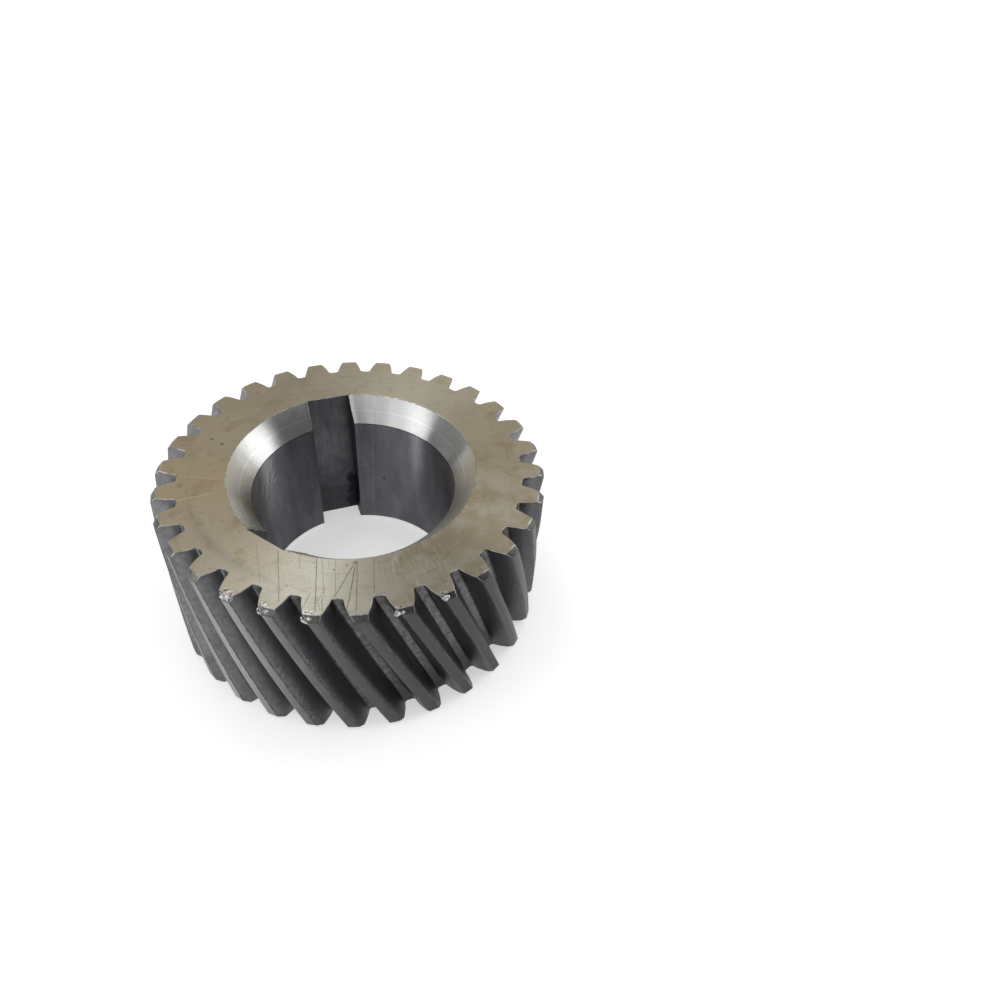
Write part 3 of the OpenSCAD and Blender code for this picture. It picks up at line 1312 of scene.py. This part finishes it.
@dataclass(frozen=True)
class EdgeFinish(Finish):
    """Broken edges: bright round the bore and the faces, and dark along the teeth with dashes of small burrs
    and their painted shade.
    """

    name: str = "worn_edge"
    colour: Colour = (0.72, 0.71, 0.68)
    shade: Colour = (0.32, 0.31, 0.28)
    dark: Colour = (0.05, 0.05, 0.052)
    dull: Colour = (0.12, 0.12, 0.12)
    roughness: float = 0.32
    lead_in_edge: float = 4.6

    def pattern(self, place: Place) -> Socket:
        """Uneven wear."""
        return place.noise(0.9, 4.0, 0.6).step(0.38, 0.66)

    def tone(self, place: Place, pattern: Socket) -> Socket:
        """Worn steel at the ends of the gear, and dark dashes along the edges of the teeth, small burrs with
        painted shade.
        """
        gear = place.gear
        root, bore, width = (size / MM for size in (gear.root_radius, gear.bore_radius, gear.face_width))
        # dark dashes: small burrs with painted shade along the edges
        dashes = place.stretched((0.5, 0.5, 0.9), 3.0, 0.6).step(0.42, 0.58)
        tooth = place.graph.blend(dashes, self.dark, self.dull)
        outside = place.radius.step(root - 0.6, root - 0.3)
        rim = place.radius.band(bore + self.lead_in_edge, 0.8)
        inside = place.radius.step(bore + 1.6, bore + 0.4).high(rim)
        between = place.z.step(0.5, 1.2) * place.z.step(width - 0.5, width - 1.2)
        return place.layers(self.bare(place, pattern), (outside.high(inside) * between, tooth))


@dataclass(frozen=True)
class BurrFinish(Finish):
    """Bright crushed metal at the knocked corners, with painted shade in its creases."""

    name: str = "burr_steel"
    colour: Colour = (0.78, 0.78, 0.77)
    # painted shade: near-black colour for the burrs' creases
    shade: Colour = (0.08, 0.08, 0.08)
    roughness: float = 0.14
    relief_depth: float = 0.12

    def pattern(self, place: Place) -> Socket:
        """Folds and creases, with painted shade in the creases."""
        return place.noise(2.2, 3.0, 0.6).step(0.3, 0.6)


@dataclass(frozen=True)
class Card:
    """A flat card or soft box that stands round the gear, out of the camera's sight."""

    name: str
    azimuth: float
    elevation: float
    width: float
    height: float
    level: float
    tint: Colour = (1.0, 1.0, 1.0)
    distance: float = 0.7
    lamp: bool = False

    def build(self) -> None:
        """Builds the card, facing the gear. Its width and height are the angles that it spans from there."""
        mesh = bmesh.new()
        bmesh.ops.create_grid(mesh, x_segments=1, y_segments=1, size=1.0)
        half = [self.distance * math.tan(math.radians(angle) / 2) for angle in (self.width, self.height)]
        bmesh.ops.scale(mesh, vec=(half[0], half[1], 1.0), verts=mesh.verts)
        bmesh.ops.translate(mesh, vec=(0, 0, -self.distance), verts=mesh.verts)
        tilt = Matrix.Rotation(math.radians(90 + self.elevation), 3, "X")
        turn = Matrix.Rotation(math.radians(self.azimuth - 90), 3, "Z")
        bmesh.ops.rotate(mesh, cent=(0, 0, 0), matrix=turn @ tilt, verts=mesh.verts)
        card = finish_mesh(mesh, self.name)
        card.visible_camera = False
        card.visible_diffuse = self.lamp
        card.visible_shadow = self.lamp
        material, graph = new_material(self.name)
        glow = graph.node("ShaderNodeEmission", None, Color=(*self.tint, 1.0), Strength=self.level)
        graph.node("ShaderNodeOutputMaterial", None, Surface=glow)
        card.data.materials.append(material)


@dataclass(frozen=True)
class Studio:
    """A pale floor, soft boxes and cards, and the photograph's camera."""

    gear: GearForm
    elevation: float = math.radians(40.924)
    azimuth: float = math.radians(-99.88)
    distance: float = 4.3781
    yaw: float = math.radians(9.8387)
    pitch: float = math.radians(-2.9506)
    roll: float = math.radians(4.2952)
    focal_pixels: float = 829.56
    image_pixels: float = 1000.0
    sensor: float = 36.0
    clip_start: float = 0.01
    floor_size: float = 6.0
    paper: Colour = (0.85, 0.85, 0.85)
    floor_glow: float = 0.35
    extra_glow: float = 0.1
    room_light: float = 0.7

    def build_camera(self) -> None:
        """Stands the camera where the photograph was taken from."""
        toward = polar(math.cos(self.elevation), self.azimuth, math.sin(self.elevation))
        place = toward * self.distance * self.gear.tip_radius + Vector((0, 0, self.gear.face_width))
        forward = -toward
        right = Vector((-math.sin(self.azimuth), math.cos(self.azimuth), 0.0))
        down = forward.cross(right)
        turn = Matrix.Rotation(self.yaw, 3, down)
        forward, right = turn @ forward, turn @ right
        turn = Matrix.Rotation(self.pitch, 3, right)
        forward, down = turn @ forward, turn @ down
        turn = Matrix.Rotation(self.roll, 3, forward)
        right, down = turn @ right, turn @ down
        data = bpy.data.cameras.new("camera")
        data.sensor_width = self.sensor
        data.lens = self.sensor * self.focal_pixels / self.image_pixels
        data.clip_start = self.clip_start
        camera = bpy.data.objects.new("camera", data)
        axes = Matrix((right, -down, -forward)).transposed().to_4x4()
        camera.matrix_world = Matrix.Translation(place) @ axes
        bpy.context.scene.collection.objects.link(camera)
        bpy.context.scene.camera = camera

    def build_floor(self) -> None:
        """Lays the floor, whose glow makes it white to the camera and in reflections and keeps the shadow."""
        mesh = bmesh.new()
        bmesh.ops.create_grid(mesh, x_segments=1, y_segments=1, size=self.floor_size / 2)
        floor = finish_mesh(mesh, "floor")
        material, graph = new_material("pale_floor")
        paper = graph.node("ShaderNodeBsdfDiffuse", None, Color=(*self.paper, 1.0))
        ray = graph.node("ShaderNodeLightPath", None, out="Is Camera Ray")
        outputs = ray.output.node.outputs
        glossy, through = (Socket(graph, outputs[name]) for name in ("Is Glossy Ray", "Is Transmission Ray"))
        direct = ray.high(glossy).high(through)
        strength = self.floor_glow + ray * self.extra_glow
        glow = graph.node("ShaderNodeEmission", None, Color=WHITE, Strength=strength)
        seen = graph.node("ShaderNodeAddShader", None, paper, glow)
        mixed = graph.node("ShaderNodeMixShader", None, direct, paper, seen)
        graph.node("ShaderNodeOutputMaterial", None, Surface=mixed)
        floor.data.materials.append(material)

    def build_world(self) -> None:
        """Lights the room evenly."""
        world = bpy.data.worlds.new("studio")
        world.use_nodes = True
        graph = Graph(world.node_tree)
        background = graph.node("ShaderNodeBackground", None, Color=WHITE, Strength=self.room_light)
        graph.node("ShaderNodeOutputWorld", None, Surface=background)
        bpy.context.scene.world = world

    def build(self) -> None:
        """Builds the whole studio."""
        self.build_camera()
        self.build_floor()
        self.build_world()
        for card in (
            Card("left_soft_box", 182, 36, 19, 46, 1.9, lamp=True),
            Card("left_wall", -154, 36, 29, 48, 1.17),
            Card("left_corner", -130, 37, 19, 48, 0.75),
            Card("camera_wall", -104, 38, 33, 54, 0.4),
            Card("front_wall", -53, 38, 69, 54, 0.095),
            Card("right_soft_box", 1, 25, 25, 44, 2.2, lamp=True),
            Card("right_wall", 19, 20, 11, 40, 1.12, (1.0, 0.98, 0.94)),
            Card("right_corner", 33, 18, 17, 36, 0.74, (1.0, 0.93, 0.82)),
            Card("far_left_wall", 152, 30, 41, 50, 0.25),
            Card("top_soft_box", 101, 67, 11, 15, 3.9, (0.96, 0.99, 1.0), lamp=True),
            Card("ceiling", 42, 70, 44, 32, 0.45),
            Card("back_wall", 85, 28, 70, 34, 0.48, (1.0, 0.79, 0.5)),
            Card("table_edge", 78, 2, 72, 30, 0.44, (1.0, 0.88, 0.72), distance=0.13),
        ):
            card.build()
        bpy.context.scene.view_settings.view_transform = "Standard"


FINISHES = {
    Surface.FACE: TurnedFace(),
    Surface.LEAD_IN: LeadInFinish(),
    Surface.BORE: BoreFinish(),
    Surface.KEYWAY: KeywayFinish(),
    Surface.FLANK: FlankFinish(),
    Surface.LAND: LandFinish(),
    Surface.TIP_CHAMFER: TipChamferFinish(),
    Surface.EDGE: EdgeFinish(),
}


def main() -> None:
    """Builds the studio and the gear, and reports each piece."""
    logging.basicConfig(level=logging.INFO, format="%(message)s")
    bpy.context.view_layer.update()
    low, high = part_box(NODE)
    form = GearForm(tip_radius=(high.x - low.x) / 2, face_width=high.z - low.z)
    Studio(form).build()
    body = GearBody(form).build()
    for surface in Surface:
        body.data.materials.append(FINISHES[surface].build(form))
    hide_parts(NODE)
    burrs = TipBurrs(form).build()
    burrs.data.materials.append(BurrFinish().build(form))
    for piece in (body, burrs):
        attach(piece, "root")
        LOG.info("%s rides on root, %d faces", piece.name, len(piece.data.polygons))


if __name__ == "__main__":
    main()
